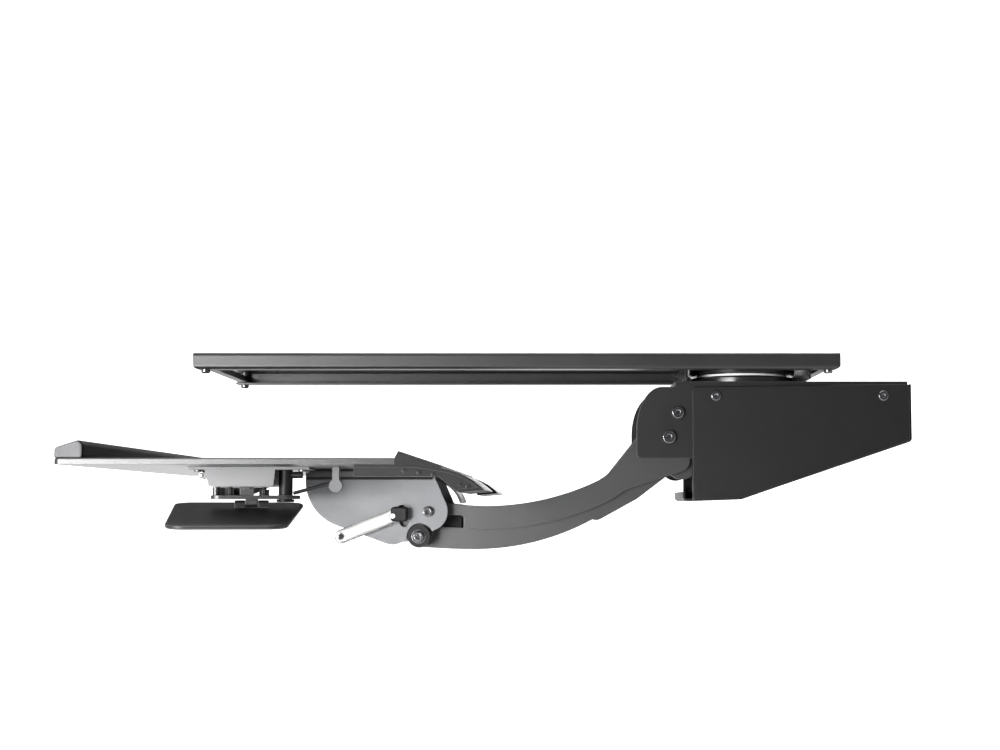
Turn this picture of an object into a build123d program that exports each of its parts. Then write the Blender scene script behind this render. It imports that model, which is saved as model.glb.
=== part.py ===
from build123d import *
import os
from math import atan2, cos, degrees, hypot, radians, sin

# The frame: Z = 0 is the underside of the desk, +Y runs to the back of the desk, +X to the user's right

# Rail
rail_length = 600
rail_width = 208
rail_depth = 15
rail_sheet = 2
rail_bend = 3
rail_end_corner = 4
lip_width = 17
desk_hole_radius = 2.5
desk_hole_spacing_x = 152
desk_hole_inset = 46
rail_slot_length = 26
rail_slot_width = 8
rail_slot_pitch = 120
stop_inset = 10
stop_bar_width = 8
stop_bar_height = 6
stop_post_radius = 3.6
stop_end_gap = 1
stop_screw_inset = 10
stop_screw_radius = 2.5
stop_head_radius = 4.2
stop_head_height = 3.6

# Carriage in the rail, which rests a gap from the rail's rear end
carriage_rear_gap = 20
carriage_length = 120
carriage_sheet = 2.5
carriage_drop = 6
carriage_edge_gap = 6
carriage_fold_width = 110
carriage_fold_depth = 12
glide_length = 30
glide_width = 11
glide_gap = 0.4
race_radius = 52
race_upper_height = 6
race_ring_height = 2
race_ring_inner = 26
race_ring_outer = 44
race_chamfer = 1.5
swivel_radius = 8
swivel_head_radius = 12
swivel_head_height = 2.4
swivel_nut_radius = 12
swivel_nut_height = 7

# Clearances
screw_gap = 0.1
running_gap = 0.05
side_gap = 0.3
quarter_turn = 90

# Nested side plates, from the middle outwards
arm_sheet = 3
lower_arm_half = 43
nest_gap = 3.5
cheek_gap = 3.5
frame_sheet = 3
tilt_gap = 4
tilt_sheet = 3
upper_arm_half = lower_arm_half + nest_gap + arm_sheet
ear_inner = upper_arm_half + cheek_gap
ear_outer = ear_inner + frame_sheet
tilt_inner = ear_outer + tilt_gap
tilt_outer = tilt_inner + tilt_sheet

# Parallelogram: rear pivots, and what takes them to the front ones
lower_rear_ahead = 76
lower_rear_z = -76
pair_out = 8.5
pair_rise = 23.2
arm_reach = 237
arm_fall = 94
pivot_radius = 4
lift_up_turn = 14
lift_down_turn = 25

# Arms
arm_depth = 22
upper_heading = -12
upper_bend_radii = (260, 90)
upper_bend_turns = (36, 26.8)
lower_heading = -5
lower_bend_radii = (600, 225, 80)
lower_bend_turns = (5, 36, 10)
upper_rear_knuckle = 15
upper_front_knuckle = 13
heel_y = 10
heel_z = -23
heel_radius = 10
heel_root_radius = 11
heel_root_share = 0.6
neck_cut_y = 33
neck_cut_z = 3.4
neck_corner = 4
web_start_radius = 35
web_rear_inset = 26
sleeve_radius = 5.3
slot_side_gap = 0.6
lower_rear_knuckle = 11
lower_front_knuckle = 9.5
lower_above = 3
lower_crest = 9.5
crest_share = 0.7
lower_below = 10.5
front_block_run = 44
front_block_share = 0.8
lower_web_end_radius = 40
belly_share = 0.84
belly_front_drop = 4
belly_rear_drop = 9
belly_radius = 10
spring_lobe_y = 3
spring_lobe_z = -25
spring_boss_radius = 7
lobe_back = 10
lobe_radius = 15.3
bumper_start = 22
bumper_length = 16.6
bumper_top = 21
bumper_height = 40

# Housing
frame_top = -23
frame_front_ahead = 70
ear_front_ahead = 106.7
ear_top_z = -28.2
ear_round_y = 24
ear_round_z = 42
ear_bottom_z = -96.3
ear_corner = 4
frame_inset = 1
cover_front_ahead = 54
cover_rear_behind = 153
cover_front_top_z = -28.5
cover_rear_top_z = -25.5
cover_tail_z = -80
cover_knee_ahead = 8
cover_knee_z = -135.5
cover_toe_z = -137
cover_depth = 3.5
cover_rim = 2
cover_corner = 4
cover_pocket = 1.2
cover_screw_front_y = 22.6
cover_screw_rear_y = 25
cover_screw_drop = 8.5
cover_screw_radius = 2
cover_head_radius = 5
cover_head_height = 2.4
cover_socket_radius = 1.8
cover_socket_depth = 1.4
pan_sheet = 2
pan_back_gap = 3
pan_lip_ahead = 63
pan_lip_z = -128
pan_bend = 4
bolt_head_height = 4.5
lower_head_radius = 6.5
upper_head_radius = 6
nut_radius = 7.5
nut_height = 5
socket_radius = 2.6
socket_depth = 2.4
washer_radius = 9

# Gas spring
anchor_behind = 125
anchor_z = -58
anchor_radius = 4
spring_pin_radius = 4
cylinder_radius = 9
cylinder_tail = 12
cylinder_length = 112
rod_radius = 4
rod_cap_radius = 5.2
rod_cap_length = 8
eye_radius = 8
eye_width = 12
eye_slack = 1.6

# Head: ahead means in front of the upper front pivot, rise means above it
clamp_ahead = 24.3
clamp_rise = -3.2
clamp_radius = 4
clamp_boss_radius = 10
clamp_tube_radius = 7
clamp_grip = 2.6
yoke_lower_radius = 11
yoke_upper_radius = 12
head_sleeve_radius = 6
disc_radius = 10.5
disc_height = 1.8
ring_radius = 6.7
ring_height = 1
front_head_radius = 4.8
front_head_height = 4
hub_front_ahead = 34
hub_rear_ahead = 18.9
hub_top_rise = 4.2
hub_bottom_rise = -9.2
hub_inner_gap = 1
hub_depth = 11
hub_corner = 2.5
lever_pivot_ahead = 32.1
lever_pivot_rise = -4.2
lever_tip_ahead = 80.6
lever_tip_rise = -23.4
lever_half_width = 6.6
lever_thickness = 3.4
lever_inset = 3.4
lever_rim = 1.6
lever_pocket = 1.2
lever_hole_radius = 2.4
lever_plug_step = 0.6
lever_pin_radius = 2.2
lever_pin_proud = 0.8
fork_gap = 0.4

# Tilt plates under the tray
tilt_up_turn = 15
tilt_down_turn = 10
plate_front_ahead = 115.5
plate_rear_ahead = -4
plate_round_radius = 45
plate_round_ahead = 71
plate_round_rise = 29.3
plate_lobe_ahead = 33.5
plate_lobe_rise = -15.7
plate_lobe_radius = 15.5
plate_pivot_radius = 18.5
notch_radius = 12.5
notch_shift_turn = 2.5
arc_slot_end_turn = 2
support_depth = 7
support_sheet = 2.5
support_bend = 2.5
lip_trim_height = 2.6
hood_half = 38
hood_outer = 32
hood_sheet = 2.5
hood_first_angle = 16
hood_last_angle = 102

# Tray
board_width = 500
board_front_ahead = 297
board_rear_ahead = 13.3
board_rise = 44.9
board_thickness = 5.3
board_corner = 6
board_edge = 1
rest_depth = 24
rest_height = 14.9
rest_chamfer_y = 19
rest_chamfer_z = 6.5
rest_side_round = 1.5
rest_end_inset = 2
stop_rise = 5.8
stop_front_lean = 3.3
stop_bar_rear_ahead = -25.7
stop_bar_rear_rise = 38.8
stop_bar_rear_thickness = 2.6
wing_flange_ahead = 47.5
wing_mid_ahead = -42.5
wing_mid_rise = 31.3
wing_tip_ahead = -61.5
wing_tip_rise = 18.3
wing_return_ahead = -39.8
wing_return_rise = 16.3
wing_side_inset = 4
wing_end_sheet = 2
wing_end_low_rise = 29.5
wing_end_knee_ahead = -22.8
end_screw_radius = 1.2
end_head_radius = 1.9
end_head_height = 1.1
end_screw_front_ahead = 5.5
end_screw_front_rise = 34.4
end_screw_step = 12.2
end_screw_rear_ahead = -41
end_screw_rear_rise = 22.8
end_screw_rear_step = 6.6
end_screw_fall_share = 0.14

# Mouse platform
mouse_x = 150
bracket_front_ahead = 189.5
bracket_rear_ahead = 126.5
bracket_bottom_rise = 22.1
bracket_taper = 4.5
bracket_width = 34
bracket_sheet = 2.5
bracket_front_flange = 14
bracket_rear_flange = 30
bracket_screw_radius = 2
bracket_head_radius = 3.6
bracket_head_height = 2
post_ahead = 120
post_radius = 6.2
post_foot_height = 2.4
post_foot_radius = 8
post_knob_radius = 3
post_knob_drop = 4.5
post_knob_length = 15
carrier_front_ahead = 185
carrier_root_radius = 13
carrier_tip_radius = 8
carrier_tip_half = 6
carrier_top_rise = 14.4
carrier_sheet = 3.2
guide_post_ahead = 180.7
guide_post_radius = 3.1
thumb_front_ahead = 168.2
thumb_rear_ahead = 138.8
thumb_stem_radius = 1.8
thumb_head_radius = 4.4
thumb_head_height = 5.2
thumb_groove_radius = 0.45
thumb_groove_count = 12
catch_ahead = 153.5
catch_width = 12
catch_sheet = 2
catch_foot = 6
riser_offset = 8
riser_sheet = 1.6
riser_front = 61
riser_low_rear = 31
riser_top_rear = 14
hinge_ahead = 149.5
hinge_rise = 7.2
hinge_pin_radius = 1.5
hinge_knuckle_radius = 3
hinge_middle_length = 11
hinge_side_length = 9
hinge_gap = 0.3
platform_length = 180
platform_width = 116.5
platform_side_angle = 87
platform_thickness = 4
platform_corner = 16
platform_edge = 1
platform_shift_x = 44
platform_shift_y = -13
platform_gap = 0.4
platform_fall = 6
platform_turn = 7.6
guide_rod_radius = 1.6
guide_front_ahead = 113
guide_front_rise = 16.4
guide_knee_ahead = 81.5
guide_knee_rise = 24.8
guide_rear_ahead = 70.5
guide_rear_rise = 25.4
clip_ahead = 75
clip_rise = 23
clip_radius = 5.9
clip_stem_width = 6
clip_thickness = 8
guide_bend = 12
roller_ahead = 193.3
roller_rise = 31.9
roller_radius = 3.2
roller_length = 8
roller_hook_sheet = 2
roller_pin_radius = 1.2
roller_hook_radius = 2.6
tray_screw_radius = 2
tray_head_radius = 4
tray_head_height = 2.4
support_screw_x = 45
support_screw_front = 15
support_screw_rear = 88
wing_screw_inset = 12
wing_screw_x = 120
wing_screw_step = 100

# Places along the rail
carriage_place = rail_length / 2 - carriage_rear_gap - carriage_length / 2
desk_hole_spacing_y = rail_length - 2 * desk_hole_inset

# Places in the housing, from the swivel under the carriage
lower_rear_y = carriage_place - lower_rear_ahead
frame_front_y = carriage_place - frame_front_ahead
ear_front_y = carriage_place - ear_front_ahead
cover_front_y = carriage_place - cover_front_ahead
cover_rear_y = carriage_place + cover_rear_behind
cover_knee_y = carriage_place - cover_knee_ahead
pan_lip_y = carriage_place - pan_lip_ahead
anchor_y = carriage_place + anchor_behind

# Pivot places, as points of the side view (Y, Z)
lower_rear = (lower_rear_y, lower_rear_z)
upper_rear = (lower_rear_y + pair_out, lower_rear_z + pair_rise)
lower_front = (lower_rear_y - arm_reach, lower_rear_z - arm_fall)
upper_front = (upper_rear[0] - arm_reach, upper_rear[1] - arm_fall)
pair_length = hypot(pair_out, pair_rise)
spring_pin = (lower_rear_y + spring_lobe_y, lower_rear_z + spring_lobe_z)
anchor = (anchor_y, anchor_z)
front_y, front_z = upper_front

# Places on the head, from the upper front pivot that the tray tilts about
clamp_y = front_y - clamp_ahead
hub_front_y = front_y - hub_front_ahead
hub_rear_y = front_y - hub_rear_ahead
lever_pivot_y = front_y - lever_pivot_ahead
lever_tip_y = front_y - lever_tip_ahead
clamp_z = front_z + clamp_rise
hub_top_z = front_z + hub_top_rise
hub_bottom_z = front_z + hub_bottom_rise
lever_pivot_z = front_z + lever_pivot_rise
lever_tip_z = front_z + lever_tip_rise

# Places on the tray
plate_front_y = front_y - plate_front_ahead
plate_rear_y = front_y - plate_rear_ahead
plate_round_y = front_y - plate_round_ahead
plate_lobe_y = front_y - plate_lobe_ahead
board_front_y = front_y - board_front_ahead
board_rear_y = front_y - board_rear_ahead
stop_bar_rear_y = front_y - stop_bar_rear_ahead
wing_flange_y = front_y - wing_flange_ahead
wing_mid_y = front_y - wing_mid_ahead
wing_tip_y = front_y - wing_tip_ahead
wing_return_y = front_y - wing_return_ahead
bracket_front_y = front_y - bracket_front_ahead
bracket_rear_y = front_y - bracket_rear_ahead
roller_y = front_y - roller_ahead
plate_round_z = front_z + plate_round_rise
plate_lobe_z = front_z + plate_lobe_rise
board_top = front_z + board_rise
stop_bar_rear_z = front_z + stop_bar_rear_rise
wing_mid_z = front_z + wing_mid_rise
wing_tip_z = front_z + wing_tip_rise
wing_return_z = front_z + wing_return_rise
wing_end_low_z = front_z + wing_end_low_rise
wing_end_knee_y = front_y - wing_end_knee_ahead
bracket_bottom_z = front_z + bracket_bottom_rise
roller_z = front_z + roller_rise
guide_front = (front_y - guide_front_ahead, front_z + guide_front_rise)
guide_knee = (front_y - guide_knee_ahead, front_z + guide_knee_rise)
guide_rear = (front_y - guide_rear_ahead, front_z + guide_rear_rise)
clip_place = (front_y - clip_ahead, front_z + clip_rise)

# Places on the mouse platform's carrier
post_y = front_y - post_ahead
carrier_front_y = front_y - carrier_front_ahead
guide_post_y = front_y - guide_post_ahead
thumb_front_y = front_y - thumb_front_ahead
thumb_rear_y = front_y - thumb_rear_ahead
catch_y = front_y - catch_ahead
hinge_y = front_y - hinge_ahead
carrier_top_z = front_z + carrier_top_rise
hinge_z = front_z + hinge_rise

clamp = (clamp_y, clamp_z)
lever_pivot = (lever_pivot_y, lever_pivot_z)
lever_tip = (lever_tip_y, lever_tip_z)


def side_discs(offset, length, radius, points):
    """Round bars along X that start at an offset from the middle plane, at points of the side view."""
    with BuildPart() as discs:
        with BuildSketch(Plane.YZ.offset(offset)):
            with Locations(*points):
                Circle(radius)
        extrude(amount=length)
    return discs.part


def side_rings(offset, length, inner, outer, points):
    """Tubes along X that start at an offset from the middle plane."""
    with BuildPart() as rings:
        with BuildSketch(Plane.YZ.offset(offset)):
            with Locations(*points):
                Circle(outer)
                Circle(inner, mode=Mode.SUBTRACT)
        extrude(amount=length)
    return rings.part


def cap_screws(plane, points, head_radius, head_height, shank_radius, shank_length):
    """Screws with low rounded heads that stand on a plane and shanks that go down through it."""
    with BuildPart() as screws:
        with BuildSketch(plane):
            with Locations(*points):
                Circle(head_radius)
        extrude(amount=head_height)
        heads = screws.edges().filter_by(GeomType.CIRCLE).sort_by(Axis(plane.origin, plane.z_dir))
        chamfer(heads[-len(points):], head_height / 3)
        with BuildSketch(plane):
            with Locations(*points):
                Circle(shank_radius)
        extrude(amount=-shank_length)
    return screws.part


def through_bolt(point, start, end, head_radius, head_height):
    """Socket-headed bolt along X: head outside the near end, nut outside the far one."""
    with BuildPart() as bolt:
        add(side_discs(start, end - start, pivot_radius, [point]))
        add(side_discs(end, head_height, head_radius, [point]))
        chamfer(bolt.faces().sort_by(Axis.X)[-1].edges(), head_height / 5)
        with BuildSketch(Plane.YZ.offset(end + head_height)):
            with Locations(point):
                RegularPolygon(socket_radius, 6)
        extrude(amount=-socket_depth, mode=Mode.SUBTRACT)
        with BuildSketch(Plane.YZ.offset(start - nut_height)):
            with Locations(point):
                RegularPolygon(nut_radius, 6)
        extrude(amount=nut_height)
    return bolt.part


def facing_down(height):
    """A plane at a height that looks down, its own y axis running to the front."""
    return Plane(origin=(0, 0, height), x_dir=(1, 0, 0), z_dir=(0, 0, -1))


def strip(points, bend, sheet, side):
    """Side view of a folded sheet: a line through points with rounded bends, thickened to one side."""
    with BuildSketch() as section:
        with BuildLine():
            run = FilletPolyline(*points, radius=bend) if bend else Polyline(*points)
            offset(run, amount=sheet, side=side)
        make_face()
    return section.sketch_local


# Rail: one C-shaped channel, open downwards between its lips
with BuildPart() as rail_channel:
    with BuildSketch(Plane.XZ):
        with Locations((0, -rail_depth / 2)):
            RectangleRounded(rail_width, rail_depth, rail_bend)
            RectangleRounded(
                rail_width - 2 * rail_sheet,
                rail_depth - 2 * rail_sheet,
                rail_bend - rail_sheet,
                mode=Mode.SUBTRACT,
            )
        with Locations((0, rail_sheet / 2 - rail_depth)):
            Rectangle(rail_width - 2 * lip_width, rail_sheet, mode=Mode.SUBTRACT)
    extrude(amount=rail_length / 2, both=True)
    with BuildSketch(Plane.YZ) as rail_side:
        with Locations((0, -rail_depth / 2)):
            Rectangle(rail_length, rail_depth)
        fillet(rail_side.vertices().group_by(Axis.Y)[0], rail_end_corner)
    extrude(amount=rail_width / 2, both=True, mode=Mode.INTERSECT)
    with GridLocations(desk_hole_spacing_x, desk_hole_spacing_y, 2, 2):
        Hole(desk_hole_radius)
    with BuildSketch(Plane.XY):
        with GridLocations(0, rail_slot_pitch, 1, 3):
            SlotOverall(rail_slot_length, rail_slot_width, rotation=90)
    extrude(amount=-rail_sheet, mode=Mode.SUBTRACT)
    with GridLocations(
        rail_width - 2 * stop_screw_inset, rail_length - 2 * stop_inset, 2, 2
    ):
        with Locations((0, 0, -rail_depth)):
            Cylinder(
                stop_screw_radius + screw_gap,
                rail_sheet,
                align=(Align.CENTER, Align.CENTER, Align.MIN),
                mode=Mode.SUBTRACT,
            )

# Rail stops: a bar on the lips at each end, with a post over each screw
stop_floor = rail_sheet - rail_depth
with BuildPart() as rail_stops:
    with BuildSketch(Plane.XY.offset(stop_floor)):
        with GridLocations(0, rail_length - 2 * stop_inset, 1, 2):
            Rectangle(rail_width - 2 * (rail_sheet + stop_end_gap), stop_bar_width)
    extrude(amount=stop_bar_height)
    with BuildSketch(Plane.XY.offset(stop_floor)):
        with GridLocations(
            rail_width - 2 * stop_screw_inset, rail_length - 2 * stop_inset, 2, 2
        ):
            Circle(stop_post_radius)
    extrude(amount=rail_depth - 2 * rail_sheet)
    with BuildSketch(Plane.XY.offset(stop_floor)):
        with GridLocations(
            rail_width - 2 * stop_screw_inset, rail_length - 2 * stop_inset, 2, 2
        ):
            Circle(stop_screw_radius + screw_gap)
    extrude(amount=stop_bar_height + rail_sheet, mode=Mode.SUBTRACT)

with BuildPart() as rail_stop_screws:
    add(
        cap_screws(
            facing_down(-rail_depth),
            [
                (x * (rail_width / 2 - stop_screw_inset), y * (rail_length / 2 - stop_inset))
                for x in (-1, 1)
                for y in (-1, 1)
            ],
            stop_head_radius,
            stop_head_height,
            stop_screw_radius,
            rail_sheet + stop_bar_height,
        )
    )

# Carriage plate: wide enough to lie over the lips, folded down at its front and rear edges
plate_half = rail_width / 2 - carriage_edge_gap
plate_floor = -carriage_drop - carriage_sheet
swivel_place = (0, carriage_place)
with BuildPart() as carriage_plate:
    with BuildSketch(Plane.XY.offset(-carriage_drop)):
        with Locations(swivel_place):
            Rectangle(2 * plate_half, carriage_length)
            Circle(swivel_radius + screw_gap, mode=Mode.SUBTRACT)
    extrude(amount=-carriage_sheet)
    with BuildSketch(Plane.XY.offset(-carriage_drop)):
        for end in (-1, 1):
            with Locations((0, carriage_place + end * (carriage_length - carriage_sheet) / 2)):
                Rectangle(carriage_fold_width, carriage_sheet)
    extrude(amount=-carriage_fold_depth - carriage_sheet)

# Glide blocks: nylon, clipped on the plate's side edges, filling the channel but for a small gap
channel_half = rail_width / 2 - rail_sheet
with BuildPart() as glide_blocks:
    for side in (-1, 1):
        with BuildSketch(Plane.XZ.offset(-carriage_place)):
            with Locations(
                (side * (channel_half - glide_gap - glide_width / 2), -rail_depth / 2)
            ):
                Rectangle(glide_width, rail_depth - 2 * (rail_sheet + glide_gap))
            with Locations((0, -carriage_drop - carriage_sheet / 2)):
                Rectangle(2 * plate_half, carriage_sheet, mode=Mode.SUBTRACT)
        extrude(amount=carriage_length / 2, both=True)
    with Locations((0, carriage_place, -rail_depth / 2)):
        Box(rail_width, carriage_length - 2 * glide_length, rail_depth, mode=Mode.SUBTRACT)

# Swivel: upper disc and nylon ring on the carriage, lower disc on the housing
race_floor = plate_floor - race_upper_height
ring_floor = race_floor - race_ring_height
with BuildPart() as swivel_race_upper:
    with BuildSketch(Plane.XY.offset(plate_floor)):
        with Locations(swivel_place):
            Circle(race_radius)
            Circle(swivel_radius + screw_gap, mode=Mode.SUBTRACT)
    extrude(amount=-race_upper_height)
    rim = swivel_race_upper.edges().filter_by(GeomType.CIRCLE).sort_by(SortBy.RADIUS)[-2:]
    chamfer(rim.sort_by(Axis.Z)[0], race_chamfer)

with BuildPart() as swivel_ring:
    with BuildSketch(Plane.XY.offset(race_floor)):
        with Locations(swivel_place):
            Circle(race_ring_outer)
            Circle(race_ring_inner, mode=Mode.SUBTRACT)
    extrude(amount=-race_ring_height)

with BuildPart() as swivel_race_lower:
    with BuildSketch(Plane.XY.offset(frame_top)):
        with Locations(swivel_place):
            Circle(race_radius)
            Circle(swivel_radius + running_gap, mode=Mode.SUBTRACT)
    extrude(amount=ring_floor - side_gap - frame_top)
    rim = swivel_race_lower.edges().filter_by(GeomType.CIRCLE).sort_by(SortBy.RADIUS)[-2:]
    chamfer(rim.sort_by(Axis.Z)[-1], race_chamfer)

frame_floor = frame_top - frame_sheet
with BuildPart() as swivel_pivot:
    with BuildSketch(Plane.XY.offset(-carriage_drop)):
        with Locations(swivel_place):
            Circle(swivel_head_radius)
    extrude(amount=swivel_head_height)
    with BuildSketch(Plane.XY.offset(-carriage_drop)):
        with Locations(swivel_place):
            Circle(swivel_radius)
    extrude(amount=frame_floor - side_gap + carriage_drop)
    with BuildSketch(Plane.XY.offset(frame_floor - side_gap)):
        with Locations(swivel_place):
            RegularPolygon(swivel_nut_radius, 6)
    extrude(amount=-swivel_nut_height)

frame_rear_y = cover_rear_y - frame_inset


def frame_cheek():
    """Side view of a housing cheek: a rounded ear in front, a tail that tapers under the covers."""
    with BuildSketch() as cheek:
        with BuildLine():
            over_ear = Line((frame_front_y, ear_top_z), (ear_front_y + ear_round_y, ear_top_z))
            ear_curve = EllipticalCenterArc(
                (ear_front_y + ear_round_y, ear_top_z - ear_round_z),
                ear_round_y,
                ear_round_z,
                start_angle=quarter_turn,
                arc_size=quarter_turn,
            )
            under_ear = FilletPolyline(
                ear_curve @ 1,
                (ear_front_y, ear_bottom_z),
                (cover_front_y, ear_bottom_z),
                radius=ear_corner,
            )
            Polyline(
                under_ear @ 1,
                (cover_front_y, cover_toe_z + frame_inset),
                (cover_knee_y, cover_knee_z + frame_inset),
                (frame_rear_y, cover_tail_z + frame_inset),
                (frame_rear_y, frame_top),
                (frame_front_y, frame_top),
                over_ear @ 0,
            )
        make_face()
        with Locations(lower_rear, upper_rear, anchor):
            Circle(pivot_radius + screw_gap, mode=Mode.SUBTRACT)
    return cheek.sketch_local


# Housing frame: top plate and two side cheeks whose front ears carry the arms
with BuildPart() as housing_frame:
    with BuildSketch(Plane.YZ.offset(ear_inner)):
        add(frame_cheek())
    extrude(amount=frame_sheet)
    mirror(about=Plane.YZ)
    with BuildSketch(Plane.XY.offset(frame_top)):
        with Locations((0, (frame_front_y + frame_rear_y) / 2)):
            Rectangle(2 * ear_inner, frame_rear_y - frame_front_y)
        with Locations(swivel_place):
            Circle(swivel_radius + running_gap, mode=Mode.SUBTRACT)
    extrude(amount=-frame_sheet)

# Side covers: one shape for both sides, a shallow dish with a raised rim
cover_points = [
    (cover_front_y, cover_front_top_z),
    (cover_front_y, cover_toe_z),
    (cover_knee_y, cover_knee_z),
    (cover_rear_y, cover_tail_z),
    (cover_rear_y, cover_rear_top_z),
]
cover_screw_points = [
    (cover_front_y + cover_screw_front_y, cover_front_top_z - cover_screw_drop),
    (cover_rear_y - cover_screw_rear_y, cover_front_top_z - cover_screw_drop),
]


def cover_outline():
    """Side view of a cover, its corners rounded."""
    with BuildSketch() as outline:
        with BuildLine():
            Polyline(*cover_points, close=True)
        make_face()
        fillet(outline.vertices(), cover_corner)
    return outline.sketch_local


with BuildPart() as near_side_cover:
    with BuildSketch(Plane.YZ.offset(ear_outer)):
        add(cover_outline())
    extrude(amount=cover_depth)
    chamfer(near_side_cover.faces().sort_by(Axis.X)[-1].edges(), cover_pocket / 2)
    with BuildSketch(Plane.YZ.offset(ear_outer)):
        offset(cover_outline(), amount=-cover_rim)
        with Locations(*cover_screw_points):
            Circle(cover_head_radius, mode=Mode.SUBTRACT)
    extrude(amount=cover_pocket, mode=Mode.SUBTRACT)
    with BuildSketch(Plane.YZ.offset(ear_outer)):
        with Locations(*cover_screw_points):
            Circle(cover_screw_radius + screw_gap)
    extrude(amount=cover_depth, mode=Mode.SUBTRACT)

with BuildPart() as far_side_cover:
    add(near_side_cover.part)
    mirror(about=Plane.YZ, mode=Mode.REPLACE)

# Rear cover: one folded sheet between the cheeks, closing the back, the slope and the toe
with BuildPart() as rear_cover:
    with BuildSketch(Plane.YZ):
        add(
            strip(
                [
                    (pan_lip_y, pan_lip_z),
                    (pan_lip_y, cover_toe_z),
                    (cover_knee_y, cover_knee_z),
                    (cover_rear_y + pan_back_gap, cover_tail_z),
                    (cover_rear_y + pan_back_gap, cover_rear_top_z),
                ],
                pan_bend,
                pan_sheet,
                Side.LEFT,
            )
        )
    extrude(amount=ear_inner, both=True)

with BuildPart() as cover_screws:
    for side in (-1, 1):
        add(
            cap_screws(
                Plane(
                    origin=(side * (ear_outer + cover_depth), 0, 0),
                    x_dir=(0, 1, 0),
                    z_dir=(side, 0, 0),
                ),
                [(y, side * z) for y, z in cover_screw_points],
                cover_head_radius,
                cover_head_height,
                cover_screw_radius,
                cover_depth,
            )
        )
    for side in (-1, 1):
        with BuildSketch(Plane.YZ.offset(side * (ear_outer + cover_depth + cover_head_height))):
            with Locations(*cover_screw_points):
                RegularPolygon(cover_socket_radius, 6)
        extrude(amount=-side * cover_socket_depth, mode=Mode.SUBTRACT)

# Rear pivots: bolts through the ears, with nylon sleeves between the ears and the arms
with BuildPart() as lower_rear_pivot:
    add(through_bolt(lower_rear, -ear_outer, ear_outer, lower_head_radius, bolt_head_height))

with BuildPart() as upper_rear_pivot:
    add(through_bolt(upper_rear, -ear_outer, ear_outer, upper_head_radius, bolt_head_height))

bush_hole = pivot_radius + running_gap
with BuildPart() as pivot_bushes:
    add(
        side_rings(
            lower_arm_half + side_gap,
            ear_inner - lower_arm_half - side_gap,
            bush_hole,
            sleeve_radius,
            [lower_rear],
        )
    )
    add(
        side_rings(
            upper_arm_half + side_gap,
            ear_inner - upper_arm_half - side_gap,
            bush_hole,
            washer_radius,
            [upper_rear],
        )
    )
    mirror(about=Plane.YZ)

# Gas spring: cylinder on the anchor pin, rod eye round the pin of the lower arm
spring_angle = degrees(atan2(spring_pin[1] - anchor[1], spring_pin[0] - anchor[0]))
spring_reach = hypot(spring_pin[0] - anchor[0], spring_pin[1] - anchor[1])
spring_line = Plane(
    origin=(0, *anchor),
    x_dir=(1, 0, 0),
    z_dir=(0, cos(radians(spring_angle)), sin(radians(spring_angle))),
)
with BuildPart() as spring_anchor_pin:
    add(side_discs(-ear_outer, 2 * ear_outer, anchor_radius, [anchor]))

with BuildPart() as gas_spring_cylinder:
    add(side_discs(-eye_width / 2, eye_width, eye_radius, [anchor]))
    with BuildSketch(spring_line):
        Circle(rod_radius)
    extrude(amount=cylinder_tail + cylinder_length / 2)
    with BuildSketch(spring_line.offset(cylinder_tail)):
        Circle(cylinder_radius)
    extrude(amount=cylinder_length)
    chamfer(
        gas_spring_cylinder.edges().filter_by(GeomType.CIRCLE).sort_by(SortBy.RADIUS)[-2:],
        rod_radius / 4,
    )
    add(
        side_discs(-eye_width / 2, eye_width, anchor_radius + running_gap, [anchor]),
        mode=Mode.SUBTRACT,
    )
    with BuildSketch(spring_line.offset(cylinder_tail + rod_cap_length)):
        Circle(rod_radius + running_gap)
    extrude(amount=cylinder_length, mode=Mode.SUBTRACT)

with BuildPart() as gas_spring_rod:
    add(side_discs(-eye_width / 2, eye_width, eye_radius, [spring_pin]))
    with BuildSketch(spring_line.offset(cylinder_tail + cylinder_length / 2)):
        Circle(rod_radius)
    extrude(amount=spring_reach - cylinder_tail - cylinder_length / 2)
    with BuildSketch(spring_line.offset(spring_reach - eye_radius - rod_cap_length)):
        Circle(rod_cap_radius)
    extrude(amount=rod_cap_length + eye_radius / 2)
    add(
        side_discs(-eye_width / 2, eye_width, spring_pin_radius + eye_slack, [spring_pin]),
        mode=Mode.SUBTRACT,
    )

with BuildPart() as spring_arm_pin:
    add(side_discs(-lower_arm_half, 2 * lower_arm_half, spring_pin_radius, [spring_pin]))


def side_point(place):
    """The place of a vector of the side view, as a (Y, Z) pair."""
    return (place.X, place.Y)


def arm_run(front, rear, heading, radii, turns, rise):
    """Edges from an arm's front pivot to its rear one, rise above the centre line all the way."""
    way = Vector(cos(radians(heading)), sin(radians(heading)))
    point = Vector(*front) + way.rotate(Axis.Z, 90) * rise
    edges = []
    for radius, turn in zip(radii, turns):
        bend = JernArc(point, way, radius - rise, turn)
        edges.append(bend)
        point, way = bend @ 1, bend % 1
    last = (Vector(*rear) - point + way.rotate(Axis.Z, 90) * rise).normalized()
    edges.append(Line(point, Vector(*rear) + last.rotate(Axis.Z, 90) * rise))
    return edges


def arm_band(front, rear, heading, radii, turns, above, below):
    """Side view of an arm: the band from below its centre line to above it."""
    with BuildSketch() as band:
        top = arm_run(front, rear, heading, radii, turns, above)
        bottom = arm_run(front, rear, heading, radii, turns, -below)
        with BuildLine():
            add(top)
            add(bottom)
            Line(top[0] @ 0, bottom[0] @ 0)
            Line(top[-1] @ 1, bottom[-1] @ 1)
        make_face()
    return band.sketch_local


def hull(*discs):
    """Side view of a plate whose outline is drawn tight round discs, each given as (place, radius)."""
    with BuildSketch() as plate:
        for place, radius in discs:
            with Locations(place):
                Circle(radius)
        make_hull()
    return plate.sketch_local


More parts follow.
